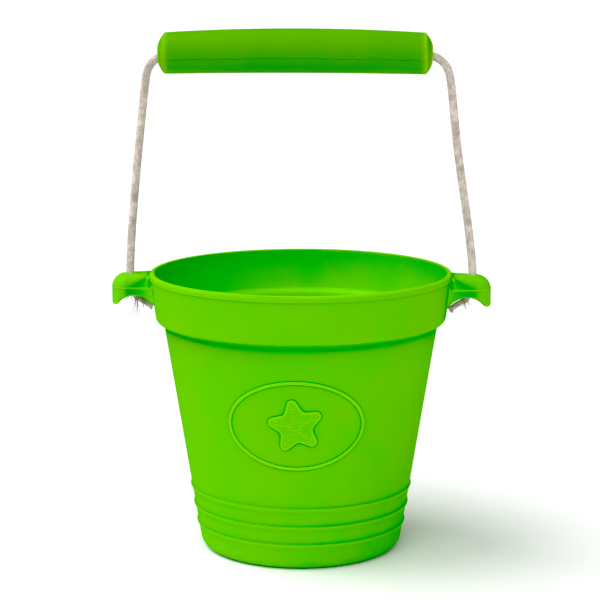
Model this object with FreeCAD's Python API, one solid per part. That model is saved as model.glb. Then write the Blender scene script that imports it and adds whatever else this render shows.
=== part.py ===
import FreeCAD, Part
import math
import os

# A child's sand bucket: a one-piece silicone pail with two hooded ears, and a
# rope handle that carries a silicone grip. Millimetres, +Z up. The origin is
# the centre of the face that the bucket stands on. X runs through the ears,
# and the badge faces -Y.

V = FreeCAD.Vector
UP = V(0, 0, 1)

# --- pail wall -----------------------------------------------------------
BUCKET_HEIGHT = 122.2
RIM_RADIUS = 65.9          # outside of the lip
LIP_THICKNESS = 2.6
LIP_HEIGHT = 3.0           # bead that runs round the mouth
LIP_ROUND = 1.2
LIP_STEP_ROUND = 0.25
COLLAR_HEIGHT = 21.5       # wider band under the mouth, lip included
COLLAR_DRAFT = 0.125       # radius gained per mm of height
COLLAR_LIP_STEP = 0.4      # lip stands this far out of the collar
COLLAR_ROUND = 2.3
BASE_RADIUS = 43.7         # wall line carried down to the floor
BASE_ROUND = 5.2
WALL_DRAFT = 0.162
WALL = 2.5
FLOOR = 3.2
FLOOR_ROUND = 4.5
FOOT_WIDTH = 6.0           # flat ring that the bucket stands on
FOOT_RECESS = 0.8
LEDGE_RISE = 0.6           # inner ledge above the wall's thickness over the collar's bottom
LEDGE_SLOPE = 0.8          # height of the ledge's slope
LEDGE_ROUND = 1.2
CREASE_ROUND = 0.4

# --- raised rings near the base -----------------------------------------
RING_COUNT = 3
RING_FIRST = 11.5          # height of the lowest ring
RING_SPACING = 8.2
RING_PROUD = 0.65
RING_RISE = 1.0            # steep upper flank
RING_FALL = 2.4            # long lower flank
RING_ROUND = 0.3

# --- badge on the front -----------------------------------------------------
BADGE_HEIGHT = 65.5
BADGE_HALF_WIDTH = 28.5
BADGE_HALF_HEIGHT = 19.5
BADGE_LINE = 1.0
BADGE_PROUD = 0.35
STAR_ARMS = 5
STAR_TIP = 14.5
STAR_VALLEY = 6.6
STAR_TIP_ROUND = 1.9
STAR_VALLEY_ROUND = 2.2
STAR_PROUD = 0.5
STAR_PITS = (2.6, 5.6, 8.4)   # distances from the centre of the star
STAR_PIT_RADIUS = 0.65
STAR_TURN = 9.0            # degrees off upright
RELIEF_ROOT = 1.0          # depth that relief is rooted in the wall

# --- ears -------------------------------------------------------------------
EAR_REACH = 8.9            # rope hole centre, outward from the lip
EAR_HALF_WIDTH = 8.0       # also the radius of the ear's round end
EAR_DROP = 1.2             # ear top under the rim
EAR_HEIGHT = 13.7
EAR_WALL = 2.0
EAR_END_ROUND = 0.775 * EAR_HALF_WIDTH   # edge of the round end
EAR_ROOT_ROUND = 0.8       # edge where the ear meets the collar
EAR_PARTING = 5.8          # moulding line, below the ear top
FLASH_PROUD = 0.12
FLASH_HEIGHT = 0.45
ROOT_FILLET = 2.0          # web between ear and collar, above the moulding line
NOSE_INSET = 0.675 * EAR_HALF_WIDTH      # foot of the arch's outer flank, outward from the rope hole
NOSE_ROUND = 0.22 * EAR_HEIGHT
ARCH_SPAN = 7.1            # crossing of the arch flanks, inward from that foot
ARCH_CROWN = 0.43 * EAR_HEIGHT           # and below the ear top
ARCH_SLOPE = 0.81          # flank towards the collar
ARCH_ROUND = 0.635 * EAR_HEIGHT
SKIRT_ROUND = 0.9          # outer edge of the skirts and the arch

# --- rope -------------------------------------------------------------------
ROPE_DIAMETER = 3.2
ROPE_CLEARANCE = 0.3       # radial, in the ear holes and the grip bore
SWING_RISE = 1.25 * ROPE_DIAMETER        # height above the ear top at which the rope flexes
SWING_GAP = 0.4            # between the two rounded rope ends at that point
KNOT_RADIUS = 0.5375 * EAR_HALF_WIDTH
KNOT_HEIGHT = 6.6
KNOT_ROUND = 1.6
TAIL_DIAMETER = 2.8
TUFT_TOP_RADIUS = 0.9
TUFT_LOW_RADIUS = 2.2
TUFT_LENGTH = 5.6
TUFT_OUTSET = 1.2          # tuft centre, outward from the rope hole
FRAY_ROOT_RADIUS = 2.6     # where the tail and the tuft leave the knot
FRAY_ROOT_HEIGHT = 0.9
FRAY_ROOT_INSET = 0.4

# Rope routes as (x, z), from the ear up to the straight stretch in the grip.
LEFT_ROUTE = [(-74.8, 125.0), (-73.3, 146.0), (-70.9, 170.0), (-68.7, 189.5),
              (-67.3, 201.5), (-66.2, 209.5), (-63.2, 213.5), (-58.7, 215.8),
              (-54.5, 215.8)]
RIGHT_ROUTE = [(74.8, 125.0), (71.8, 148.0), (67.9, 172.0), (65.7, 191.0),
               (64.7, 201.5), (63.4, 209.5), (60.4, 213.5), (55.9, 215.8),
               (51.7, 215.8)]
# Cut ends that lean on the collar, as (inward from the hole, below the knot).
LEFT_TAIL = [(2.0, 0.0), (2.0, 2.2), (4.8, 3.6), (9.0, 5.9)]
RIGHT_TAIL = [(2.0, 0.0), (2.0, 2.3), (5.4, 3.8), (9.2, 6.6)]

# --- grip -------------------------------------------------------------------
GRIP_LENGTH = 118.9
GRIP_OFFSET = -2.5         # grip centre from the bucket's centre line
GRIP_END_RADIUS = 8.8
GRIP_MID_RADIUS = 9.5
GRIP_BOW = 1.25            # rise of the centre line at mid length
GRIP_RISE = 0.5            # end centres above the bore
GRIP_DOME = 3.4
GRIP_EDGE_ROUND = 1.2
GRIP_STATIONS = 7
MOUTH_RADIUS = 3.9
MOUTH_DEPTH = 5.2

# --- worked out ----------------------------------------------------------
COLLAR_BOTTOM = BUCKET_HEIGHT - COLLAR_HEIGHT
LIP_BOTTOM = BUCKET_HEIGHT - LIP_HEIGHT
LEDGE_HEIGHT = COLLAR_BOTTOM + WALL + LEDGE_RISE
EAR_TOP = BUCKET_HEIGHT - EAR_DROP
EAR_BOTTOM = EAR_TOP - EAR_HEIGHT
EAR_CEILING = EAR_TOP - EAR_WALL
HOLE_X = RIM_RADIUS + EAR_REACH
PARTING_HEIGHT = EAR_TOP - EAR_PARTING
ROPE_RADIUS = ROPE_DIAMETER / 2
HOLE_RADIUS = ROPE_RADIUS + ROPE_CLEARANCE
SWING_HEIGHT = EAR_TOP + SWING_RISE
KNOT_BOTTOM = EAR_CEILING - KNOT_HEIGHT


def wall_radius(z):
    """Outside radius of the tapered wall."""
    return BASE_RADIUS + WALL_DRAFT * z


def collar_radius(z):
    """Outside radius of the collar."""
    return RIM_RADIUS - COLLAR_LIP_STEP - COLLAR_DRAFT * (LIP_BOTTOM - z)


# --- general shapes ----------------------------------------------------------
def in_xz(u, v):
    return V(u, 0, v)


def in_yz_at(x):
    return lambda u, v: V(x, u, v)


def rounded_wire(corners, place=in_xz):
    """Closed wire through (u, v, radius) corners, each rounded by a tangent arc."""
    points = [place(u, v) for u, v, _ in corners]
    bends = []
    for i, (_, _, radius) in enumerate(corners):
        here = points[i]
        back = (points[i - 1] - here).normalize()
        ahead = (points[(i + 1) % len(points)] - here).normalize()
        half = back.getAngle(ahead) / 2
        cut = radius / math.tan(half)
        middle = (back + ahead).normalize()
        crown = here + middle * (radius / math.sin(half) - radius)
        bends.append((here + back * cut, crown, here + ahead * cut, radius))
    edges = []
    for i, (start, crown, end, radius) in enumerate(bends):
        if radius:
            edges.append(Part.Arc(start, crown, end).toShape())
        following = bends[(i + 1) % len(bends)][0]
        if end.distanceToPoint(following) > 1e-6:
            edges.append(Part.LineSegment(end, following).toShape())
    return Part.Wire(edges)


def lathe(corners, centre=V(0, 0, 0), axis=UP, angle=360, place=in_xz):
    return Part.Face(rounded_wire(corners, place)).revolve(centre, axis, angle)


def cord_path(points, name):
    """Wire of straight runs and tangent arcs; each arc is as large as its runs allow."""
    runs = [b - a for a, b in zip(points, points[1:])]
    edges = []
    radii = []
    start = points[0]
    for i in range(1, len(points) - 1):
        corner = points[i]
        before, after = runs[i - 1], runs[i]
        turn = before.getAngle(after)
        radius = 0.45 * min(before.Length, after.Length) / math.tan(turn / 2)
        cut = radius * math.tan(turn / 2)
        back = V(before).normalize() * -1
        ahead = V(after).normalize()
        middle = (back + ahead).normalize()
        crown = corner + middle * (radius / math.cos(turn / 2) - radius)
        entry, leave = corner + back * cut, corner + ahead * cut
        edges.append(Part.LineSegment(start, entry).toShape())
        edges.append(Part.Arc(entry, crown, leave).toShape())
        radii.append(round(radius, 1))
        start = leave
    edges.append(Part.LineSegment(start, points[-1]).toShape())
    path = Part.Wire(edges)
    print(name, "length", round(path.Length, 1), "arc radii", radii)
    return path


def tube(points, radius, name):
    """Round solid along a cord path, with its volume compared with section by length."""
    path = cord_path(points, name)
    ring = Part.Wire([Part.makeCircle(radius, points[0], points[1] - points[0])])
    solid = path.makePipeShell([ring], True, False)
    ratio = solid.Volume / (math.pi * radius ** 2 * path.Length)
    print(name, "volume against section by length", round(ratio, 4))
    return solid


def mirrored(shape):
    return shape.mirror(V(0, 0, 0), V(1, 0, 0))


# --- pail -------------------------------------------------------------------
def pail_outside():
    """Everything inside the pail's outer surface, with lip, collar and rings."""
    foot_inside = BASE_RADIUS - BASE_ROUND - FOOT_WIDTH
    corners = [(0, FOOT_RECESS, 0),
               (foot_inside - FOOT_RECESS, FOOT_RECESS, CREASE_ROUND),
               (foot_inside, 0, CREASE_ROUND),
               (BASE_RADIUS, 0, BASE_ROUND)]
    for i in range(RING_COUNT):
        z = RING_FIRST + i * RING_SPACING
        corners += [(wall_radius(z - RING_FALL), z - RING_FALL, RING_ROUND / 2),
                    (wall_radius(z) + RING_PROUD, z, RING_ROUND),
                    (wall_radius(z + RING_RISE), z + RING_RISE, RING_ROUND)]
    corners += [(wall_radius(COLLAR_BOTTOM), COLLAR_BOTTOM, CREASE_ROUND),
                (collar_radius(COLLAR_BOTTOM), COLLAR_BOTTOM, COLLAR_ROUND),
                (collar_radius(LIP_BOTTOM), LIP_BOTTOM, LIP_STEP_ROUND),
                (RIM_RADIUS, LIP_BOTTOM + COLLAR_LIP_STEP, LIP_STEP_ROUND),
                (RIM_RADIUS, BUCKET_HEIGHT, LIP_ROUND),
                (0, BUCKET_HEIGHT, 0)]
    return lathe(corners)


def pail_inside():
    """The hollow of the pail, with the step where the wall joggles out to the collar."""
    step = LEDGE_HEIGHT - LEDGE_SLOPE
    mouth = RIM_RADIUS - LIP_THICKNESS
    corners = [(0, FLOOR, 0),
               (wall_radius(FLOOR) - WALL, FLOOR, FLOOR_ROUND),
               (wall_radius(step) - WALL, step, LEDGE_ROUND),
               (collar_radius(LEDGE_HEIGHT) - WALL, LEDGE_HEIGHT, LEDGE_ROUND),
               (mouth, BUCKET_HEIGHT - LIP_ROUND, 0)]
    hollow = lathe(corners + [(0, BUCKET_HEIGHT - LIP_ROUND, 0)])
    lip = [(0, BUCKET_HEIGHT - LIP_ROUND, 0), (mouth, BUCKET_HEIGHT - LIP_ROUND, 0),
           (mouth, BUCKET_HEIGHT, LIP_ROUND), (mouth + 3 * LIP_ROUND, BUCKET_HEIGHT, 0),
           (mouth + 3 * LIP_ROUND, BUCKET_HEIGHT + 1, 0), (0, BUCKET_HEIGHT + 1, 0)]
    return hollow.fuse(lathe(lip))


def hood(inset, floor):
    """Ear block: a neck whose edge rounding grows into a round, domed end."""
    half = EAR_HALF_WIDTH - inset
    top = EAR_TOP - inset
    start = RIM_RADIUS - LIP_THICKNESS - WALL

    def section(x, edge):
        return rounded_wire([(-half, floor, 0), (half, floor, 0), (half, top, edge),
                             (-half, top, edge)], in_yz_at(x))

    root_edge = max(EAR_ROOT_ROUND - inset / 4, 0.2)
    end_edge = EAR_END_ROUND - 1.5 * inset
    neck = Part.makeLoft([section(start, root_edge), section(HOLE_X, end_edge)], True, True)
    end = lathe([(0, floor, 0), (-half, floor, 0), (-half, top, end_edge), (0, top, 0)],
                V(HOLE_X, 0, 0), UP, 180, in_yz_at(HOLE_X))
    return neck.fuse(end)


def ear():
    """Right-hand ear, open below, with an arch through both skirts."""
    foot_x = HOLE_X + NOSE_INSET
    crown_x = foot_x - ARCH_SPAN
    crown_z = EAR_TOP - ARCH_CROWN
    run = 2 * EAR_HALF_WIDTH
    arch = rounded_wire([(crown_x - run, crown_z - ARCH_SLOPE * run, 0),
                         (crown_x, crown_z, ARCH_ROUND),
                         (foot_x, EAR_BOTTOM, NOSE_ROUND),
                         (crown_x + run, EAR_BOTTOM, 0),
                         (crown_x + run, crown_z - ARCH_SLOPE * run, 0)])
    arch = Part.Face(arch).extrude(V(0, 4 * EAR_HALF_WIDTH, 0))
    arch.translate(V(0, -2 * EAR_HALF_WIDTH, 0))
    block = hood(0, EAR_BOTTOM).removeSplitter().cut(arch)
    block = block.makeFillet(SKIRT_ROUND, skirt_edges(block, arch))

    flash_length = HOLE_X - RIM_RADIUS + LIP_THICKNESS
    flash_half = EAR_HALF_WIDTH + FLASH_PROUD
    flash_low = PARTING_HEIGHT - FLASH_HEIGHT / 2
    flash = Part.makeBox(flash_length, 2 * flash_half, FLASH_HEIGHT,
                         V(HOLE_X - flash_length, -flash_half, flash_low))
    flash = flash.fuse(Part.makeCylinder(flash_half, FLASH_HEIGHT, V(HOLE_X, 0, flash_low)))
    block = block.fuse([flash] + [root_web(side) for side in (-1, 1)])

    hollow = hood(EAR_WALL, EAR_BOTTOM - EAR_HEIGHT)
    hole = Part.makeCylinder(HOLE_RADIUS, 2 * EAR_WALL, V(HOLE_X, 0, EAR_CEILING - EAR_WALL / 2))
    return block.cut([hollow, hole])


def skirt_edges(block, arch):
    """Outer edges where the arch cuts the two sides, and the lowest edge of the round end."""
    chosen = []
    for edge in block.Edges:
        middle = edge.valueAt((edge.FirstParameter + edge.LastParameter) / 2)
        box = edge.BoundBox
        on_arch = Part.Vertex(middle).distToShape(arch)[0] < 1e-4
        on_side = abs(middle.y) > EAR_HALF_WIDTH / 2 and box.YLength < EAR_HALF_WIDTH / 2
        round_end = box.ZMax < EAR_BOTTOM + 1e-4 and middle.x > HOLE_X + EAR_HALF_WIDTH - 0.1
        if (on_arch and on_side) or round_end:
            chosen.append(edge)
    return chosen


def root_web(side):
    """Concave web in the corner between the ear's side and the collar."""
    low, high = PARTING_HEIGHT, EAR_TOP - EAR_ROOT_ROUND
    collar = collar_radius((low + high) / 2)
    centre_y = EAR_HALF_WIDTH + ROOT_FILLET
    centre_x = math.sqrt((collar + ROOT_FILLET) ** 2 - centre_y ** 2)
    reach = collar / (collar + ROOT_FILLET)
    on_collar = V(centre_x * reach, centre_y * reach, low)
    on_ear = V(centre_x, EAR_HALF_WIDTH, low)
    corner = V(collar - WALL, EAR_HALF_WIDTH - EAR_WALL / 2, low)
    sides = [on_ear, V(on_ear.x, corner.y, low), corner, V(corner.x, on_collar.y, low), on_collar]
    web = Part.Face(Part.makePolygon(sides + [sides[0]])).extrude(V(0, 0, high - low))
    web = web.cut(Part.makeCylinder(ROOT_FILLET, high - low, V(centre_x, centre_y, low)))
    return web if side > 0 else web.mirror(V(0, 0, 0), V(0, 1, 0))


def on_front(wire, proud):
    """Relief of an XZ outline, following the front of the tapered wall."""
    low = BADGE_HEIGHT - 2 * BADGE_HALF_HEIGHT
    height = 4 * BADGE_HALF_HEIGHT
    skin = Part.makeCone(wall_radius(low) + proud, wall_radius(low + height) + proud, height, V(0, 0, low))
    core = Part.makeCone(wall_radius(low) - RELIEF_ROOT, wall_radius(low + height) - RELIEF_ROOT,
                         height, V(0, 0, low))
    prism = Part.Face(wire).extrude(V(0, -2 * RIM_RADIUS, 0))
    return prism.common(skin.cut(core))


def oval(half_width, half_height):
    ellipse = Part.Ellipse(V(0, 0, 0), half_width, half_height).toShape()
    ellipse.rotate(V(0, 0, 0), V(1, 0, 0), 90)
    ellipse.translate(V(0, 0, BADGE_HEIGHT))
    return Part.Wire([ellipse])


def badge():
    """Plain oval line round a five-armed starfish with pitted arms."""
    frame = on_front(oval(BADGE_HALF_WIDTH, BADGE_HALF_HEIGHT), BADGE_PROUD)
    window = Part.Face(oval(BADGE_HALF_WIDTH - BADGE_LINE, BADGE_HALF_HEIGHT - BADGE_LINE))
    frame = frame.cut(window.extrude(V(0, -2 * RIM_RADIUS, 0)))
    corners = []
    pits = []
    for i in range(2 * STAR_ARMS):
        angle = math.radians(90 + STAR_TURN + 180 * i / STAR_ARMS)
        reach, edge = (STAR_TIP, STAR_TIP_ROUND) if i % 2 == 0 else (STAR_VALLEY, STAR_VALLEY_ROUND)
        corners.append((reach * math.cos(angle), BADGE_HEIGHT + reach * math.sin(angle), edge))
        if i % 2 == 0:
            pits += [(d * math.cos(angle), BADGE_HEIGHT + d * math.sin(angle)) for d in STAR_PITS]
    star = on_front(rounded_wire(corners), STAR_PROUD)
    for x, z in pits:
        front = -math.sqrt(wall_radius(z) ** 2 - x ** 2)
        star = star.cut(Part.makeSphere(STAR_PIT_RADIUS, V(x, front - STAR_PROUD, z)))
    return [frame, star]


def bucket():
    hollow = pail_inside()
    right = ear().cut(hollow)
    shell = pail_outside().cut(hollow)
    return shell.fuse([right, mirrored(right)] + badge()).removeSplitter()


# --- rope -------------------------------------------------------------------
def route(points, side):
    """Route as vectors, moved with the point at which the rope flexes."""
    shift = V(side * HOLE_X - points[0][0], 0, SWING_HEIGHT - points[0][1])
    return [V(x, 0, z) + shift for x, z in points]


def rope_span(points, name):
    """Rope from its rounded end over the ear to the straight stretch in the grip."""
    return tube(points, ROPE_RADIUS, name).fuse(Part.makeSphere(ROPE_RADIUS, points[0]))


def rope_in_ear():
    """Short upright stretch through the ear's hole, with a rounded end."""
    top = SWING_HEIGHT - 2 * ROPE_RADIUS - SWING_GAP
    stretch = Part.makeCylinder(ROPE_RADIUS, top - EAR_CEILING, V(HOLE_X, 0, EAR_CEILING))
    return stretch.fuse(Part.makeSphere(ROPE_RADIUS, V(HOLE_X, 0, top))).removeSplitter()


def knot():
    return lathe([(0, KNOT_BOTTOM, 0), (KNOT_RADIUS, KNOT_BOTTOM, KNOT_ROUND),
                  (KNOT_RADIUS, EAR_CEILING, KNOT_ROUND), (0, EAR_CEILING, 0)]
                 ).translated(V(HOLE_X, 0, 0))


def frayed_end(tail, name):
    """Cut rope end that leans towards the collar, and the tuft of loose yarns."""
    points = [V(HOLE_X - inward, 0, KNOT_BOTTOM - down) for inward, down in tail]
    end = tube(points, TAIL_DIAMETER / 2, name)
    tuft = Part.makeCone(TUFT_TOP_RADIUS, TUFT_LOW_RADIUS, TUFT_LENGTH,
                         V(HOLE_X + TUFT_OUTSET, 0, KNOT_BOTTOM), V(0, 0, -1))
    root = Part.makeCylinder(FRAY_ROOT_RADIUS, FRAY_ROOT_HEIGHT,
                             V(HOLE_X - FRAY_ROOT_INSET, 0, KNOT_BOTTOM - FRAY_ROOT_HEIGHT))
    return root.fuse([end, tuft]).removeSplitter()


# --- grip -------------------------------------------------------------------
def grip(bore_height):
    """Barrel-shaped sleeve, bowed upward, with domed ends and a flared rope bore."""
    half = GRIP_LENGTH / 2
    along = V(1, 0, 0)
    rings = []
    for i in range(GRIP_STATIONS):
        t = 2 * i / (GRIP_STATIONS - 1) - 1
        fullness = 1 - t * t
        radius = GRIP_END_RADIUS + (GRIP_MID_RADIUS - GRIP_END_RADIUS) * fullness
        centre = V(GRIP_OFFSET + t * half, 0, bore_height + GRIP_RISE + GRIP_BOW * fullness)
        rings.append(Part.Wire([Part.makeCircle(radius, centre, along)]))
    barrel = Part.makeLoft(rings, True, False)

    dome = (GRIP_END_RADIUS ** 2 + GRIP_DOME ** 2) / (2 * GRIP_DOME)
    for side in (-1, 1):
        end = V(GRIP_OFFSET + side * half, 0, bore_height + GRIP_RISE)
        ball = Part.makeSphere(dome, end - along * side * dome)
        inner = Part.makeBox(GRIP_LENGTH, 4 * dome, 4 * dome)
        inner.translate(V(GRIP_OFFSET - half, -2 * dome, bore_height - 2 * dome))
        inner.translate(along * (-side * dome))
        barrel = barrel.common(inner.fuse(ball))
    rims = [e for e in barrel.Edges if abs(abs(e.CenterOfMass.x - GRIP_OFFSET) - half + GRIP_DOME) < 0.5
            and e.Length > 4 * GRIP_END_RADIUS]
    barrel = barrel.makeFillet(GRIP_EDGE_ROUND, rims)

    reach = half + 1
    bore = Part.makeCylinder(HOLE_RADIUS, 2 * reach, V(GRIP_OFFSET - reach, 0, bore_height), along)
    mouths = [Part.makeCone(MOUTH_RADIUS, HOLE_RADIUS, MOUTH_DEPTH,
                            V(GRIP_OFFSET + side * half, 0, bore_height), along * -side)
              for side in (-1, 1)]
    return barrel.cut([bore] + mouths)


def save(name, shape):
    os.makedirs("parts", exist_ok=True)
    solid = shape.Solids[0] if len(shape.Solids) == 1 else shape
    print(name, "solids", len(shape.Solids), "valid", shape.isValid(), "volume", round(shape.Volume, 1))
    solid.exportStep("parts/" + name + ".step")


def main():
    left = route(LEFT_ROUTE, -1)
    right = route(RIGHT_ROUTE, 1)
    save("bucket", bucket())
    save("grip", grip(left[-1].z))
    save("rope_left", rope_span(left, "rope_left"))
    save("rope_right", rope_span(right, "rope_right"))
    between = right[-1] - left[-1]
    save("rope_in_grip", Part.makeCylinder(ROPE_RADIUS, between.Length, left[-1], between))
    save("rope_in_right_ear", rope_in_ear())
    save("rope_in_left_ear", mirrored(rope_in_ear()))
    save("knot_right", knot())
    save("knot_left", mirrored(knot()))
    save("frayed_end_right", frayed_end(RIGHT_TAIL, "frayed_end_right"))
    save("frayed_end_left", mirrored(frayed_end(LEFT_TAIL, "frayed_end_left")))


main()
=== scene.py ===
"""A child's sand bucket: a one-piece moulded silicone pail, a braided cotton rope
knotted under its two ears, and a moulded silicone grip on the rope.

Metres, +Z up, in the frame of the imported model. X runs through the two ears.
"""
import logging
import math
import random
from collections.abc import Mapping, Sequence
from dataclasses import dataclass, field
from enum import Enum
from typing import Any

import bmesh
import bpy
from mathutils import Euler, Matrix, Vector


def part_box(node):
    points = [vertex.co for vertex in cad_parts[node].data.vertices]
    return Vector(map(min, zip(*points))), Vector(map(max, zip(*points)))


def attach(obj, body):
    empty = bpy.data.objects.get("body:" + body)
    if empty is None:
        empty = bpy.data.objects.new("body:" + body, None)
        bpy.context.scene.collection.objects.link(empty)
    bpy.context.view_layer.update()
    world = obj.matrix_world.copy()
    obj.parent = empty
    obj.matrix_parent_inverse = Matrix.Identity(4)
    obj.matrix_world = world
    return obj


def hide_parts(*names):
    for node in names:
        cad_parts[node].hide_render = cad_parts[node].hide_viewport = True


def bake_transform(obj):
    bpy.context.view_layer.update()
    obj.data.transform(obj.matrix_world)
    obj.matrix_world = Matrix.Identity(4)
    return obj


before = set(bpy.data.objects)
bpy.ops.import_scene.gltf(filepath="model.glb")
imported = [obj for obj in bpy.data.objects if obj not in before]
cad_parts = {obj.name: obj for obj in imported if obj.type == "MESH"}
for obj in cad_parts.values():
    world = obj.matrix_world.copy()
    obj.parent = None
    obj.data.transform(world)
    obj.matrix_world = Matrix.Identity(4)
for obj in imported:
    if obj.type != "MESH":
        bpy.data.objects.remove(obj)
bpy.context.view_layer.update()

MM = 0.001
AO_SAMPLES = 16
LOG = logging.getLogger("sand_bucket")

Colour = tuple[float, float, float, float]
Point = tuple[float, float, float]
Response = tuple[tuple[float, float], ...]


class Side(Enum):
    """The two ends of the handle; the value is the sign of X."""

    LEFT = -1
    RIGHT = 1


class Slot(Enum):
    """Material slots of the record."""

    PAIL = "silicone_pail"
    GRIP = "silicone_grip"
    ROPE = "cotton_rope"
    YARN = "frayed_yarn"


# --- small helpers ------------------------------------------------------------
def linear(code: str) -> Colour:
    """Turn an sRGB hex colour into the linear values that shaders use.

    Args:
        code: Six hex digits, red green blue.

    Returns:
        Linear red, green, blue and an alpha of 1.
    """
    values = [int(code[i:i + 2], 16) / 255 for i in (0, 2, 4)]
    red, green, blue = (v / 12.92 if v <= 0.04045 else ((v + 0.055) / 1.055) ** 2.4
                        for v in values)
    return red, green, blue, 1.0


def add_node(tree: bpy.types.NodeTree, kind: str, inputs: Mapping[str | int, Any] | None = None,
             **settings: Any) -> bpy.types.Node:
    """Add a shader node with its settings and links.

    Args:
        tree: Node tree that gets the node.
        kind: Node type, such as ``ShaderNodeMath``.
        inputs: Input name or number, and the socket linked to it or its value.
        settings: Properties of the node itself.

    Returns:
        The new node.
    """
    node = tree.nodes.new(kind)
    for name, value in settings.items():
        setattr(node, name, value)
    for key, value in (inputs or {}).items():
        if isinstance(value, bpy.types.NodeSocket):
            tree.links.new(value, node.inputs[key])
        else:
            node.inputs[key].default_value = value
    return node


def new_material(name: str) -> tuple[bpy.types.Material, bpy.types.NodeTree, bpy.types.Node]:
    """Make an empty node material.

    Args:
        name: Name of the material.

    Returns:
        The material, its node tree and its output node.
    """
    material = bpy.data.materials.new(name)
    material.use_nodes = True
    tree = material.node_tree
    tree.nodes.clear()
    return material, tree, add_node(tree, "ShaderNodeOutputMaterial")


def dress(piece: bpy.types.Object, material: bpy.types.Material) -> None:
    """Give a piece one material.

    Args:
        piece: Mesh object to dress.
        material: Material for all its faces.
    """
    piece.data.materials.clear()
    piece.data.materials.append(material)


def link(name: str, mesh: bpy.types.Mesh) -> bpy.types.Object:
    """Put a mesh into the scene as a new object at the origin."""
    piece = bpy.data.objects.new(name, mesh)
    bpy.context.scene.collection.objects.link(piece)
    return piece


def spline_points(control: Sequence[Vector]) -> list[Vector]:
    """Read the smooth line that a NURBS spline draws through the air.

    Args:
        control: Control points of the spline, in order.

    Returns:
        Closely spaced points on the line.
    """
    curve = bpy.data.curves.new("line", "CURVE")
    curve.dimensions = "3D"
    curve.resolution_u = 32
    spline = curve.splines.new("NURBS")
    spline.points.add(len(control) - 1)
    for point, place in zip(spline.points, control):
        point.co = (*place, 1.0)
    spline.order_u = 3
    spline.use_endpoint_u = True
    holder = bpy.data.objects.new("line", curve)
    mesh = bpy.data.meshes.new_from_object(holder)
    points = [vertex.co.copy() for vertex in mesh.vertices]
    bpy.data.objects.remove(holder)
    bpy.data.curves.remove(curve)
    bpy.data.meshes.remove(mesh)
    return points


def evenly(points: Sequence[Vector], step: float) -> list[Vector]:
    """Walk a line in equal steps.

    Args:
        points: Closely spaced points of the line.
        step: Wanted distance between the new points.

    Returns:
        Points at equal distances, both ends of the line included.
    """
    reached = [0.0]
    for before, after in zip(points, points[1:]):
        reached.append(reached[-1] + (after - before).length)
    count = max(2, round(reached[-1] / step))
    walked: list[Vector] = []
    i = 0
    for k in range(count + 1):
        wanted = reached[-1] * k / count
        while i < len(points) - 2 and reached[i + 1] < wanted:
            i += 1
        run = reached[i + 1] - reached[i]
        share = (wanted - reached[i]) / run if run > 0 else 0.0
        walked.append(points[i].lerp(points[i + 1], min(max(share, 0.0), 1.0)))
    return walked


def length_of(points: Sequence[Vector]) -> float:
    """Length of a line of points."""
    return sum((b - a).length for a, b in zip(points, points[1:]))


def cross_frames(points: Sequence[Vector]) -> list[tuple[Vector, Vector]]:
    """Carry a pair of crossways directions along a line without twisting them.

    Args:
        points: Points of the line.

    Returns:
        For each point, two unit vectors at right angles to the line.
    """
    frames: list[tuple[Vector, Vector]] = []
    along = (points[1] - points[0]).normalized()
    first = along.cross(Vector((0, 1, 0))).normalized()
    for i, point in enumerate(points):
        ahead = points[min(i + 1, len(points) - 1)] - points[max(i - 1, 0)]
        ahead.normalize()
        first = along.rotation_difference(ahead) @ first
        first = (first - ahead * first.dot(ahead)).normalized()
        along = ahead
        frames.append((first.copy(), along.cross(first).normalized()))
    return frames


def threads(name: str, lines: Sequence[Sequence[Vector]], radius: float, sides: int = 1,
            taper: Sequence[float] | None = None) -> bpy.types.Mesh:
    """Make round threads along lines.

    Args:
        name: Name of the mesh.
        lines: Points of each thread's middle.
        radius: Radius of a thread.
        sides: Roundness; a thread has 4 sides and 2 more for each step.
        taper: Share of the radius at the start and at the end of each thread.

    Returns:
        One mesh with all the threads, smooth and closed at their ends.
    """
    curve = bpy.data.curves.new(name, "CURVE")
    curve.dimensions = "3D"
    curve.bevel_depth = radius
    curve.bevel_resolution = sides
    curve.use_fill_caps = True
    low, high = taper or (1.0, 1.0)
    for line in lines:
        spline = curve.splines.new("POLY")
        spline.points.add(len(line) - 1)
        for i, (point, place) in enumerate(zip(spline.points, line)):
            point.co = (*place, 1.0)
            point.radius = low + (high - low) * i / (len(line) - 1)
    holder = bpy.data.objects.new(name, curve)
    mesh = bpy.data.meshes.new_from_object(holder)
    bpy.data.objects.remove(holder)
    bpy.data.curves.remove(curve)
    mesh.name = name
    mesh.polygons.foreach_set("use_smooth", [True] * len(mesh.polygons))
    return mesh


def joined(name: str, meshes: Sequence[bpy.types.Mesh]) -> bpy.types.Mesh:
    """Put several meshes together into one, and point all their faces outwards.

    Args:
        name: Name of the new mesh.
        meshes: Meshes to join, which are used up.

    Returns:
        The joined mesh.
    """
    whole = bmesh.new()
    for mesh in meshes:
        whole.from_mesh(mesh)
    bmesh.ops.remove_doubles(whole, verts=whole.verts, dist=1e-8)
    bmesh.ops.recalc_face_normals(whole, faces=whole.faces)
    for face in whole.faces:
        face.smooth = True
    made = bpy.data.meshes.new(name)
    whole.to_mesh(made)
    whole.free()
    for mesh in meshes:
        bpy.data.meshes.remove(mesh)
    return made


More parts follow.
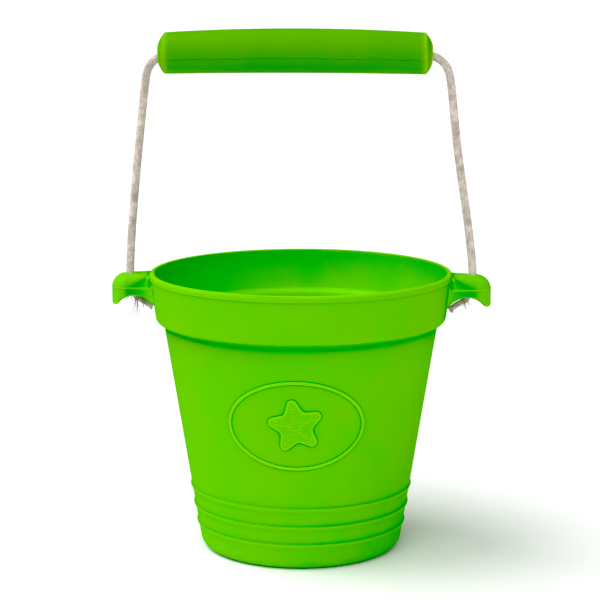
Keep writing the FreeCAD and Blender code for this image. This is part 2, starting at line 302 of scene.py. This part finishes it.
# --- finishes -----------------------------------------------------------------
@dataclass(frozen=True)
class MouldedSilicone:
    """Pigmented silicone rubber, compression moulded in a satin tool.

    The eye gets an even lime green with soft, wide highlights, a paler painted glow along
    thin outer edges, and a skin that is not perfectly flat. The painted glow is a tint
    matched to the photograph; it stands for light that shines through.
    """

    name: str
    body: str = "60C000"
    deep: str = "30C800"
    # Painted glow along thin outer edges: its tint, how deep it reaches and how strong it is.
    edge: str = "9CE828"
    deep_share: float = 0.28
    painted_glow_depth: float = 1.3 * MM
    painted_glow_share: float = 0.42
    painted_glow_open: tuple[float, float] = (0.97, 0.70)    # inward openness: no edge, full edge
    roughness: float = 0.44
    roughness_mottle: float = 0.1
    glancing: tuple[float, float] = (0.45, 0.9)      # facing at which the skin turns matt
    ior: float = 1.41
    gloss: float = 0.12
    gloss_tint: Colour = (1.0, 0.85, 0.0, 1.0)
    bleed: float = 0.10
    bleed_colour: Point = (0.25, 1.0, 0.1)
    bleed_depth: float = 1.5 * MM
    skin_wave: float = 22 * MM
    skin_wave_height: float = 0.35 * MM
    skin_mottle: float = 5 * MM
    skin_grain: float = 0.9 * MM
    skin_grain_height: float = 0.02 * MM
    # Grip only: middle in X, height at the ends, bow and half length of its middle line.
    seam: tuple[float, float, float, float] | None = None
    seam_tilt: float = -0.35                         # how far the seam is rolled forwards
    seam_wander: float = 0.8 * MM
    seam_wander_length: float = 12 * MM
    seam_width: float = 0.45 * MM
    seam_height: float = 0.22 * MM

    def material(self) -> bpy.types.Material:
        """Build the material.

        Returns:
            The silicone material.
        """
        material, tree, output = new_material(self.name)
        place = add_node(tree, "ShaderNodeTexCoord").outputs["Object"]
        wave = add_node(tree, "ShaderNodeTexNoise",
                        {"Vector": place, "Scale": 1 / self.skin_wave,
                         "Detail": 2.0, "Roughness": 0.45})
        mottle = add_node(tree, "ShaderNodeTexNoise",
                          {"Vector": place, "Scale": 1 / self.skin_mottle,
                           "Detail": 3.0, "Roughness": 0.6})
        grain = add_node(tree, "ShaderNodeTexNoise",
                         {"Vector": place, "Scale": 1 / self.skin_grain, "Detail": 2.0})
        shade = add_node(tree, "ShaderNodeMapRange",
                         {"Value": wave.outputs["Fac"], "From Min": 0.3, "From Max": 0.7,
                          "To Min": 0.0, "To Max": self.deep_share})
        tone = add_node(tree, "ShaderNodeMix",
                        {0: shade.outputs["Result"], 6: self.pigment_and_painted_shade(tree), 7: linear(self.deep)},
                        data_type="RGBA")
        # Painted glow: the paler tint mixed in along thin outer edges.
        with_painted_glow = add_node(tree, "ShaderNodeMix",
                       {0: self.painted_edge_glow(tree), 6: tone.outputs[2], 7: linear(self.edge)},
                       data_type="RGBA")
        # A moulded skin has no gloss left at a glancing angle.
        edge = add_node(tree, "ShaderNodeLayerWeight", {"Blend": 0.5})
        matt = add_node(tree, "ShaderNodeMapRange",
                        {"Value": edge.outputs["Facing"],
                         "From Min": self.glancing[0], "From Max": self.glancing[1],
                         "To Min": self.roughness, "To Max": 1.0})
        rough = add_node(tree, "ShaderNodeMath",
                         {0: mottle.outputs["Fac"], 1: self.roughness_mottle,
                          2: matt.outputs["Result"]},
                         operation="MULTIPLY_ADD")
        swell = add_node(tree, "ShaderNodeBump",
                         {"Height": wave.outputs["Fac"], "Distance": self.skin_wave_height,
                          "Strength": 0.6})
        skin = add_node(tree, "ShaderNodeBump",
                        {"Height": grain.outputs["Fac"], "Distance": self.skin_grain_height,
                         "Strength": 0.5, "Normal": swell.outputs["Normal"]})
        normal = skin.outputs["Normal"]
        if self.seam is not None:
            normal = self.seam_bump(tree, place, normal)
        shader = add_node(tree, "ShaderNodeBsdfPrincipled",
                          {"Base Color": with_painted_glow.outputs[2], "Roughness": rough.outputs[0],
                           "IOR": self.ior, "Normal": normal,
                           "Specular IOR Level": self.gloss, "Specular Tint": self.gloss_tint,
                           "Subsurface Weight": self.bleed,
                           "Subsurface Radius": self.bleed_colour,
                           "Subsurface Scale": self.bleed_depth})
        tree.links.new(shader.outputs["BSDF"], output.inputs["Surface"])
        return material

    def pigment_and_painted_shade(self, tree: bpy.types.NodeTree) -> bpy.types.NodeSocket | Colour:
        """Colour of the silicone before its mottling; a plain finish has one."""
        return linear(self.body)

    def painted_edge_glow(self, tree: bpy.types.NodeTree) -> bpy.types.NodeSocket:
        """Find the thin outer edges, which get a painted glow, a paler tint for light shining
        through.

        Args:
            tree: Node tree of the material.

        Returns:
            The socket with how much a place is such an edge.
        """
        inward = add_node(tree, "ShaderNodeAmbientOcclusion", {"Distance": self.painted_glow_depth},
                          samples=AO_SAMPLES, inside=True, only_local=True)
        share = add_node(tree, "ShaderNodeMapRange",
                         {"Value": inward.outputs["AO"],
                          "From Min": self.painted_glow_open[0], "From Max": self.painted_glow_open[1],
                          "To Min": 0.0, "To Max": self.painted_glow_share})
        return share.outputs["Result"]

    def seam_bump(self, tree: bpy.types.NodeTree, place: bpy.types.NodeSocket,
                  normal: bpy.types.NodeSocket) -> bpy.types.NodeSocket:
        """Raise the faint mould seam of a grip.

        Args:
            tree: Node tree of the material.
            place: Object coordinates.
            normal: Normal that the seam is added to.

        Returns:
            The bumped normal.
        """
        middle, centre, bow, half = self.seam
        axes = add_node(tree, "ShaderNodeSeparateXYZ", {0: place})
        offset = add_node(tree, "ShaderNodeMath", {0: axes.outputs["X"], 1: middle},
                          operation="SUBTRACT")
        share = add_node(tree, "ShaderNodeMath", {0: offset.outputs[0], 1: half},
                         operation="DIVIDE")
        square = add_node(tree, "ShaderNodeMath", {0: share.outputs[0], 1: 2.0},
                          operation="POWER")
        line = add_node(tree, "ShaderNodeMath", {0: square.outputs[0], 1: -bow, 2: centre + bow},
                        operation="MULTIPLY_ADD")
        high = add_node(tree, "ShaderNodeMath", {0: axes.outputs["Z"], 1: line.outputs[0]},
                        operation="SUBTRACT")
        tilted = add_node(tree, "ShaderNodeMath",
                          {0: axes.outputs["Y"], 1: self.seam_tilt, 2: high.outputs[0]},
                          operation="MULTIPLY_ADD")
        wander = add_node(tree, "ShaderNodeTexNoise",
                          {"Vector": place, "Scale": 1 / self.seam_wander_length, "Detail": 1.0})
        drift = add_node(tree, "ShaderNodeMath",
                         {0: wander.outputs["Fac"], 1: self.seam_wander, 2: tilted.outputs[0]},
                         operation="MULTIPLY_ADD")
        away = add_node(tree, "ShaderNodeMath", {0: drift.outputs[0], 1: self.seam_wander / 2},
                        operation="SUBTRACT")
        gap = add_node(tree, "ShaderNodeMath", {0: away.outputs[0]}, operation="ABSOLUTE")
        ridge = add_node(tree, "ShaderNodeMapRange",
                         {"Value": gap.outputs[0], "From Min": 0.0, "From Max": self.seam_width,
                          "To Min": 1.0, "To Max": 0.0}, interpolation_type="SMOOTHSTEP")
        bump = add_node(tree, "ShaderNodeBump",
                        {"Height": ridge.outputs["Result"], "Distance": self.seam_height,
                         "Strength": 1.0, "Normal": normal})
        return bump.outputs["Normal"]


@dataclass(frozen=True)
class PailSilicone(MouldedSilicone):
    """The pail's silicone, tinted by how enclosed each place is.

    In the corners of the ears and under the collar a deeper green is painted in as
    shade, and inside the pail the wall gets a painted glow. The tints are matched to
    the photograph; they stand for light that has bounced off green silicone.
    """

    # Painted shade and painted glow: a deeper green for ear corners and under the collar, a half
    # shade for more enclosed places, a glow for the inner wall.
    painted_corner_shade: str = "248C00"
    hollow: str = "48BA00"
    painted_inner_glow: str = "72DA00"
    painted_shade_reach: float = 120 * MM
    # Openness at which the painted inner glow, the painted half shade, the painted corner shade and
    # the plain body colour stand.
    openness: tuple[float, float, float, float] = (0.60, 0.76, 0.875, 0.955)

    def pigment_and_painted_shade(self, tree: bpy.types.NodeTree) -> bpy.types.NodeSocket | Colour:
        """Colour of the silicone with painted shade and painted glow, picked by how enclosed a
        place is.

        Args:
            tree: Node tree of the material.

        Returns:
            The socket that carries the colour.
        """
        # How open to the sky a place is picks its painted shade or painted glow.
        painted_shade_sky = add_node(tree, "ShaderNodeAmbientOcclusion", {"Distance": self.painted_shade_reach},
                            samples=AO_SAMPLES, only_local=True)
        ramp = add_node(tree, "ShaderNodeValToRGB", {0: painted_shade_sky.outputs["AO"]})
        stops = ramp.color_ramp.elements
        inside, under, nook, outside = self.openness
        stops[0].position, stops[0].color = inside, linear(self.painted_inner_glow)
        stops[1].position, stops[1].color = outside, linear(self.body)
        stops.new(under).color = linear(self.hollow)
        stops.new(nook).color = linear(self.painted_corner_shade)
        return ramp.outputs["Color"]


@dataclass(frozen=True)
class BraidedCotton:
    """Natural, unbleached cotton yarn.

    Spun and braided, it is matt with a soft sheen of fine fibres, warm off-white with a
    greyer tone mixed in at random, in fine streaks and patches.
    """

    name: str
    crown: str = "EEE1D7"
    hollow: str = "A5958A"
    fibre: float = 0.35 * MM
    fibre_height: float = 0.05 * MM
    patch: float = 3 * MM

    def material(self) -> bpy.types.Material:
        """Build the material.

        Returns:
            The cotton material.
        """
        material, tree, output = new_material(self.name)
        place = add_node(tree, "ShaderNodeTexCoord").outputs["Object"]
        patch = add_node(tree, "ShaderNodeTexNoise",
                         {"Vector": place, "Scale": 1 / self.patch, "Detail": 3.0})
        stretched = add_node(tree, "ShaderNodeMapping",
                             {"Vector": place,
                              "Scale": (1 / self.fibre, 1 / self.fibre, 0.3 / self.fibre)})
        fibres = add_node(tree, "ShaderNodeTexNoise",
                          {"Vector": stretched.outputs[0], "Scale": 1.0,
                           "Detail": 3.0, "Roughness": 0.7})
        share = add_node(tree, "ShaderNodeMath",
                         {0: patch.outputs["Fac"], 1: fibres.outputs["Fac"]},
                         operation="MULTIPLY")
        mix = add_node(tree, "ShaderNodeMapRange",
                       {"Value": share.outputs[0], "From Min": 0.12, "From Max": 0.38})
        tone = add_node(tree, "ShaderNodeMix",
                        {0: mix.outputs["Result"], 6: linear(self.hollow), 7: linear(self.crown)},
                        data_type="RGBA")
        bump = add_node(tree, "ShaderNodeBump",
                        {"Height": fibres.outputs["Fac"], "Distance": self.fibre_height,
                         "Strength": 0.7})
        shader = add_node(tree, "ShaderNodeBsdfPrincipled",
                          {"Base Color": tone.outputs[2], "Roughness": 0.9, "IOR": 1.53,
                           "Normal": bump.outputs["Normal"], "Sheen Weight": 0.25,
                           "Sheen Roughness": 0.6})
        tree.links.new(shader.outputs["BSDF"], output.inputs["Surface"])
        return material


@dataclass(frozen=True)
class StudioPaper:
    """Seamless white paper: matt, even and without a pattern of its own."""

    name: str = "seamless_white_paper"
    colour: str = "FAFAFA"

    def material(self) -> bpy.types.Material:
        """Build the material.

        Returns:
            The paper material.
        """
        material, tree, output = new_material(self.name)
        shader = add_node(tree, "ShaderNodeBsdfPrincipled",
                          {"Base Color": linear(self.colour), "Roughness": 0.95, "IOR": 1.45})
        tree.links.new(shader.outputs["BSDF"], output.inputs["Surface"])
        return material


# --- studio -------------------------------------------------------------------
@dataclass(frozen=True)
class BroadLight:
    """A big diffused light, far enough away to be even over the whole table."""

    name: str
    turn: float          # degrees from the camera's side towards the left
    height: float        # degrees above level
    spread: float        # degrees that it fills, which sets how soft shadows are
    strength: float

    def build(self) -> bpy.types.Object:
        """Set up the light.

        Returns:
            The light object.
        """
        lamp = bpy.data.lights.new(self.name, "SUN")
        lamp.energy = self.strength
        lamp.angle = math.radians(self.spread)
        holder = bpy.data.objects.new(self.name, lamp)
        bpy.context.scene.collection.objects.link(holder)
        holder.rotation_euler = Euler((math.radians(90 - self.height), 0, -math.radians(self.turn)))
        return holder


@dataclass(frozen=True)
class Studio:
    """Camera, lamps and the paper that the bucket stands on."""

    camera_distance: float = 0.850      # along the floor
    camera_height: float = 0.260
    camera_turn: float = 2.3            # degrees towards the right ear
    camera_tilt: float = 10.06          # degrees below level
    lens: float = 118.4
    shift_x: float = -0.0014
    sky: float = 0.40
    cloths: float = 0.18                # light from the dark cloths at the sides
    backdrop: float = 1.0               # what the camera sees behind the bucket
    floor_size: float = 40.0
    # Curves that drop weak red and blue, as (level, shown). They are matched to the
    # photograph's greens, and act on the render only.
    red_response: Response = ((0.060, 0.0), (0.095, 0.078), (0.16, 0.165), (0.35, 0.35))
    blue_response: Response = ((0.022, 0.0), (0.06, 0.050), (0.12, 0.12), (0.35, 0.35))
    lights: tuple[BroadLight, ...] = (
        BroadLight("top_light", 12, 50, 50, 1.35),
        BroadLight("left_light", 92, 60, 46, 2.15),
        BroadLight("right_fill", -60, 6, 40, 0.42),
    )

    def build_camera(self) -> bpy.types.Object:
        """Set up the scene's camera.

        Returns:
            The camera object.
        """
        turn = math.radians(self.camera_turn)
        data = bpy.data.cameras.new("camera")
        data.lens = self.lens
        data.sensor_width = 36.0
        data.shift_x = self.shift_x
        data.clip_end = 20.0
        camera = bpy.data.objects.new("camera", data)
        bpy.context.scene.collection.objects.link(camera)
        camera.location = (self.camera_distance * math.sin(turn),
                           -self.camera_distance * math.cos(turn), self.camera_height)
        camera.rotation_euler = Euler((math.radians(90 - self.camera_tilt), 0, turn))
        bpy.context.scene.camera = camera
        return camera

    def build_room(self, paper: StudioPaper) -> None:
        """Lay the floor, hang the lamps and light the room evenly.

        Args:
            paper: Finish of the floor.
        """
        sheet = bmesh.new()
        bmesh.ops.create_grid(sheet, x_segments=4, y_segments=4, size=self.floor_size / 2)
        mesh = bpy.data.meshes.new("studio_floor")
        sheet.to_mesh(mesh)
        sheet.free()
        floor = link("studio_floor", mesh)
        dress(floor, paper.material())
        for light in self.lights:
            light.build()
        world = bpy.data.worlds.new("studio_room")
        world.use_nodes = True
        tree = world.node_tree
        seen = add_node(tree, "ShaderNodeLightPath").outputs["Is Camera Ray"]
        toward = add_node(tree, "ShaderNodeSeparateXYZ",
                          {0: add_node(tree, "ShaderNodeTexCoord").outputs["Generated"]})
        # Dark cloths stand at the sides, so the light comes from the ceiling.
        ceiling = add_node(tree, "ShaderNodeMapRange",
                           {"Value": toward.outputs["Z"], "From Min": 0.05, "From Max": 0.75,
                            "To Min": self.cloths, "To Max": self.sky},
                           interpolation_type="SMOOTHSTEP")
        strength = add_node(tree, "ShaderNodeMapRange",
                            {"Value": seen, "To Min": ceiling.outputs["Result"],
                             "To Max": self.backdrop})
        background = tree.nodes["Background"]
        background.inputs["Color"].default_value = (1.0, 1.0, 1.0, 1.0)
        tree.links.new(strength.outputs["Result"], background.inputs["Strength"])
        bpy.context.scene.world = world
        view = bpy.context.scene.view_settings
        view.view_transform = "Standard"
        view.use_curve_mapping = True
        for channel, response in ((0, self.red_response), (2, self.blue_response)):
            curve = view.curve_mapping.curves[channel]
            for level, shown in response:
                curve.points.new(level, shown)
        view.curve_mapping.update()
        LOG.info("studio: %d lights, sky %.2f", len(self.lights), self.sky)


# --- braided cord ---------------------------------------------------------------
@dataclass(frozen=True)
class Braid:
    """Tubular braid of two sets of carriers that pass over two and under two."""

    diameter: float = 3.75 * MM
    carriers: int = 8            # each way
    plies: int = 2               # yarns that run side by side in a carrier
    turn_length: float = 12.8 * MM
    yarn_radius: float = 0.235 * MM
    ripple: float = 0.18 * MM
    step: float = 0.56 * MM
    ply_gap: float = 0.40        # share of the gap between carriers
    bloom: float = 0.25          # how much wider the yarns stand where they come apart
    stray: float = 0.6 * MM      # how far they drift there
    core_gap: float = 2.2        # yarn radii from the outside down to the core

    def yarns(self, path: Sequence[Vector], flare: float = 0.0,
              seed: int = 1) -> list[list[Vector]]:
        """Lines of all the yarns along a path.

        Args:
            path: Evenly spaced points of the cord's middle.
            flare: Length at the end over which the yarns come apart.
            seed: Seed of the loose yarns.

        Returns:
            One line of points for each yarn.
        """
        chance = random.Random(seed)
        frames = cross_frames(path)
        gap = length_of(path) / (len(path) - 1)
        middle = self.diameter / 2 - self.yarn_radius - self.ripple
        whole = 2 * math.pi
        lines: list[list[Vector]] = []
        for way in (1, -1):
            for carrier in range(self.carriers):
                for ply in range(self.plies):
                    aside = (ply - (self.plies - 1) / 2) * self.ply_gap * whole / self.carriers
                    stray = Vector((chance.uniform(-1, 1), chance.uniform(-1, 1),
                                    chance.uniform(-1, 1)))
                    line: list[Vector] = []
                    for i, (point, (across, up)) in enumerate(zip(path, frames)):
                        travelled = i * gap
                        turn = whole * travelled / self.turn_length
                        angle = whole * carrier / self.carriers + way * turn + aside
                        crossing = 2 * self.carriers * turn / whole
                        lift = math.cos(math.pi / 2 * (2 * carrier + way * crossing - 0.5))
                        radius = middle + way * self.ripple * lift
                        rest = (len(path) - 1 - i) * gap
                        loose = max(0.0, 1 - rest / flare) if flare else 0.0
                        radius *= 1 + self.bloom * loose * loose
                        drift = stray * (self.stray * loose ** 2)
                        line.append(point + across * (radius * math.cos(angle))
                                    + up * (radius * math.sin(angle)) + drift)
                    lines.append(line)
        return lines

    def mesh(self, name: str, paths: Sequence[Sequence[Vector]], flare: float = 0.0,
             seed: int = 1, sides: int = 1) -> bpy.types.Mesh:
        """Braid one or more stretches into one mesh, with the core inside.

        Args:
            name: Name of the mesh.
            paths: Points of the cord's middle, for each stretch.
            flare: Length at the end over which the yarns come apart.
            seed: Seed of the loose yarns.
            sides: Roundness of a yarn, as for threads.

        Returns:
            The braid and its core.
        """
        lines: list[list[Vector]] = []
        for i, path in enumerate(paths):
            lines += self.yarns(path, flare, seed + i)
        yarns = threads(name + "_yarns", lines, self.yarn_radius, sides)
        core = threads(name + "_core", paths,
                       self.diameter / 2 - self.core_gap * self.yarn_radius, 2)
        return joined(name, [yarns, core])


# --- sub-assemblies ---------------------------------------------------------------
@dataclass
class SiliconePail:
    """The pail with its ears: one moulding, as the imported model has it."""

    node: str = "bucket"
    finish: PailSilicone = field(default_factory=lambda: PailSilicone("moulded_silicone_pail"))

    def dress(self) -> bpy.types.Object:
        """Finish the pail.

        Returns:
            The pail's object.
        """
        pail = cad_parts[self.node]
        dress(pail, self.finish.material())
        return pail


@dataclass
class SiliconeGrip:
    """The sleeve that the hand holds, threaded on the rope."""

    node: str = "grip"
    bow: float = 1.25 * MM

    def dress(self) -> bpy.types.Object:
        """Finish the grip, with its mould seam rolled a little below the front.

        Returns:
            The grip's object.
        """
        low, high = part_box(self.node)
        half = (high.x - low.x) / 2
        middle = (high.x + low.x) / 2
        end_centre = (high.z + low.z) / 2 - self.bow / 2
        # The grip gets the same painted glow, a paler tint along the rims of its ends.
        finish = MouldedSilicone("moulded_silicone_grip", body="4E9E00", deep="369600",
                                 edge="9CE030", painted_glow_depth=3.2 * MM, painted_glow_share=0.6,
                                 seam=(middle, end_centre, self.bow, half))
        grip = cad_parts[self.node]
        dress(grip, finish.material())
        return grip


@dataclass
class CottonRope:
    """One length of braided cotton cord, from ear to ear through the grip."""

    braid: Braid = field(default_factory=Braid)
    finish: BraidedCotton = field(default_factory=lambda: BraidedCotton("braided_cotton"))
    sold_as: float = 3.2 * MM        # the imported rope's thickness, without raised yarns
    ear_x: float = 74.8 * MM
    ear_ceiling: float = 119.0 * MM
    ear_top: float = 121.0 * MM
    flex: tuple[float, float] = (121.5 * MM, 128.5 * MM)     # where it bends over an ear
    inside_grip: float = 8 * MM      # how far in the fine braid goes on
    # Route points as (x, z), from the ear up to the straight stretch in the grip.
    left_route: tuple[tuple[float, float], ...] = (
        (-0.0748, 0.1250), (-0.0733, 0.1460), (-0.0709, 0.1700), (-0.0687, 0.1895),
        (-0.0673, 0.2015), (-0.0662, 0.2095), (-0.0632, 0.2135), (-0.0587, 0.2158),
        (-0.0545, 0.2158))
    right_route: tuple[tuple[float, float], ...] = (
        (0.0748, 0.1250), (0.0718, 0.1480), (0.0679, 0.1720), (0.0657, 0.1910),
        (0.0647, 0.2015), (0.0634, 0.2095), (0.0604, 0.2135), (0.0559, 0.2158),
        (0.0517, 0.2158))

    def line(self) -> list[Vector]:
        """The rope's middle, evenly spaced from the left ear to the right ear.

        Returns:
            Points from under the left ear's ceiling to under the right one's.
        """
        left = [Vector((-self.ear_x, 0, self.ear_ceiling))]
        left += [Vector((x, 0, z)) for x, z in self.left_route]
        right = [Vector((self.ear_x, 0, self.ear_ceiling))]
        right += [Vector((x, 0, z)) for x, z in self.right_route]
        return evenly(spline_points(left + right[::-1]), self.braid.step)

    def build(self, with_pieces: Sequence[bpy.types.Object]) -> bpy.types.Object:
        """Args:
            with_pieces: Knots and frayed ends that are on the rope; not used.

        Returns:
            The rope's object.
        """
        line = self.line()
        low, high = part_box("grip")
        left_mouth = low.x + self.inside_grip
        right_mouth = high.x - self.inside_grip
        left_in = [p for p in line if p.x < left_mouth]
        right_in = [p for p in line if p.x > right_mouth]
        hidden = [p for p in line if left_mouth - MM < p.x < right_mouth + MM]
        ends = self.braid.mesh("rope_ends", [left_in, right_in[::-1]])
        middle = self.braid.mesh("rope_middle", [hidden[::2]], sides=0)
        rope = link("braided_rope", joined("braided_rope", [ends, middle]))
        dress(rope, self.finish.material())
        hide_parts("rope_left", "rope_right", "rope_in_grip", "rope_in_left_ear",
                    "rope_in_right_ear")
        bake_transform(rope)
        return rope


@dataclass
class KnottedEnd:
    """Overhand knot inside an ear, with the cut end and its loose yarns."""

    side: Side
    tail: tuple[tuple[float, float], ...]      # (inward from the hole, below the knot)
    wisps: tuple[tuple[Point, Point, Point], ...]
    rope_finish: BraidedCotton
    painted_shade_yarn_finish: BraidedCotton
    ear_x: float = 74.8 * MM
    ear_ceiling: float = 119.0 * MM
    knot_height: float = 6.6 * MM
    braid: Braid = field(default_factory=lambda: Braid(
        diameter=2.6 * MM, turn_length=9.6 * MM, yarn_radius=0.19 * MM, ripple=0.13 * MM,
        step=0.35 * MM))
    # The knot's turn, in millimetres round its centre: outward from the hole, back, up.
    turn: tuple[Point, ...] = (
        (0.0, 0.0, 3.4), (0.3, 0.2, 1.5), (2.4, 0.9, 0.5), (2.2, -1.9, -0.9), (-0.6, -2.9, -1.2),
        (-2.9, -1.0, -0.2), (-2.2, 1.9, 1.1), (0.4, 2.8, 1.5), (2.5, 1.2, 1.6), (1.2, -1.2, 0.4),
        (-0.8, -0.2, -1.4))
    knot_flare: float = 2.2 * MM
    knot_seed: int = 7
    wisp_seed: int = 31
    wisp_radius: float = 0.16 * MM
    wisp_taper: tuple[float, float] = (1.0, 0.55)
    wisp_step: float = 0.3 * MM

    def place(self, outward: float, back: float, height: float) -> Vector:
        """A point near this ear, from millimetres outward from its hole and back."""
        return Vector((self.side.value * (self.ear_x + outward * MM), back * MM, height))

    def build_knot(self) -> bpy.types.Object:
        """Tie the knot and lay the cut end against the collar.

        Returns:
            The knot's object.
        """
        centre = self.ear_ceiling - self.knot_height / 2
        bottom = self.ear_ceiling - self.knot_height
        points = [self.place(x, y, centre + z * MM) for x, y, z in self.turn]
        points += [self.place(-inward, 0, bottom - down * MM) for inward, down in self.tail]
        path = evenly(spline_points(points), self.braid.step)
        name = f"knot_{self.side.name.lower()}_braid"
        knot = link(name, self.braid.mesh(name, [path], flare=self.knot_flare,
                                          seed=self.knot_seed + self.side.value))
        dress(knot, self.rope_finish.material())
        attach(knot, "bucket")
        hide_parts(f"knot_{self.side.name.lower()}")
        return knot

    def build_yarns(self) -> bpy.types.Object:
        """Let the loose yarns hang out of the knot.

        Returns:
            The yarns' object.
        """
        chance = random.Random(self.wisp_seed + self.side.value)
        lines: list[list[Vector]] = []
        for start, middle, end in self.wisps:
            for _ in range(2):
                bend: list[Vector] = []
                for k, (x, y, z) in enumerate((start, middle, end)):
                    scatter = 0.10 + 0.16 * k      # millimetres, more towards the tip
                    outward = x + chance.gauss(0, scatter)
                    back = y + chance.gauss(0, scatter)
                    bend.append(self.place(outward, back, z * MM))
                lines.append(evenly(spline_points(bend), self.wisp_step))
        name = f"frayed_yarns_{self.side.name.lower()}"
        yarns = link(name, threads(name, lines, self.wisp_radius, 1, self.wisp_taper))
        dress(yarns, self.painted_shade_yarn_finish.material())
        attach(yarns, "bucket")
        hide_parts(f"frayed_end_{self.side.name.lower()}")
        return yarns


def knotted_ends() -> list[KnottedEnd]:
    """Describe the two knots, whose loose yarns fell differently.

    Returns:
        The left and the right knotted end.
    """
    rope = BraidedCotton("braided_cotton_knot")
    # The loose yarns are the same cotton in darker olive tones: painted shade, tinted green, for
    # where they hang under the ears.
    yarn = BraidedCotton("frayed_cotton_yarn_painted_shade", crown="ADA284", hollow="776E52")
    left = KnottedEnd(
        Side.LEFT, ((2.0, 0.0), (2.0, 2.2), (4.8, 3.6), (9.0, 5.9), (9.6, 6.3)),
        (((-2.4, -1.0, 112.6), (-3.0, -1.6, 108.6), (-1.8, -1.4, 102.6)),
         ((-2.6, -1.0, 112.6), (-3.4, -1.4, 108.0), (-3.7, -1.2, 102.3)),
         ((-2.4, -0.6, 112.6), (-3.2, -1.2, 107.6), (-2.6, -1.2, 103.4)),
         ((-1.2, -1.2, 112.2), (0.4, -2.6, 107.6), (-2.8, -1.8, 109.4)),
         ((-0.4, -0.8, 112.2), (0.6, -1.8, 110.4), (1.6, -2.0, 109.4)),
         ((-3.2, -0.8, 112.2), (-5.0, -1.2, 108.8), (-5.8, -1.2, 105.6)),
         ((-5.2, -0.9, 109.6), (-6.6, -1.6, 107.6), (-7.4, -1.6, 106.0))), rope, yarn)
    right = KnottedEnd(
        Side.RIGHT, ((2.0, 0.0), (2.0, 2.3), (5.4, 3.8), (9.2, 6.6), (9.7, 7.1)),
        (((-3.0, -1.0, 112.6), (-3.6, -1.6, 110.0), (-6.0, -1.8, 106.4)),
         ((-3.0, -1.0, 112.6), (-3.5, -1.4, 109.4), (-4.3, -1.6, 106.9)),
         ((-2.8, -0.8, 112.6), (-3.3, -1.4, 109.2), (-3.4, -1.4, 106.0)),
         ((-2.8, -0.8, 112.6), (-3.2, -1.4, 109.4), (-2.2, -1.6, 105.7)),
         ((-2.8, -0.6, 112.6), (-3.0, -1.2, 109.8), (-1.4, -1.4, 106.9)),
         ((-2.8, -0.6, 112.6), (-2.9, -1.2, 110.2), (0.3, -1.6, 107.2)),
         ((-3.0, 0.4, 112.6), (-4.6, 0.8, 110.0), (-5.4, 0.9, 107.4))), rope, yarn)
    return [left, right]


def main() -> None:
    """Build and finish every piece."""
    logging.basicConfig(level=logging.INFO, format="%(name)s: %(message)s")
    studio = Studio()
    studio.build_camera()
    on_rope: list[bpy.types.Object] = []
    for end in knotted_ends():
        on_rope += [end.build_knot(), end.build_yarns()]
    pieces = [CottonRope().build(on_rope), *on_rope, SiliconePail().dress(), SiliconeGrip().dress()]
    studio.build_room(StudioPaper())
    for piece in pieces:
        LOG.info("%s: %d faces", piece.name, len(piece.data.polygons))


if __name__ == "__main__":
    main()
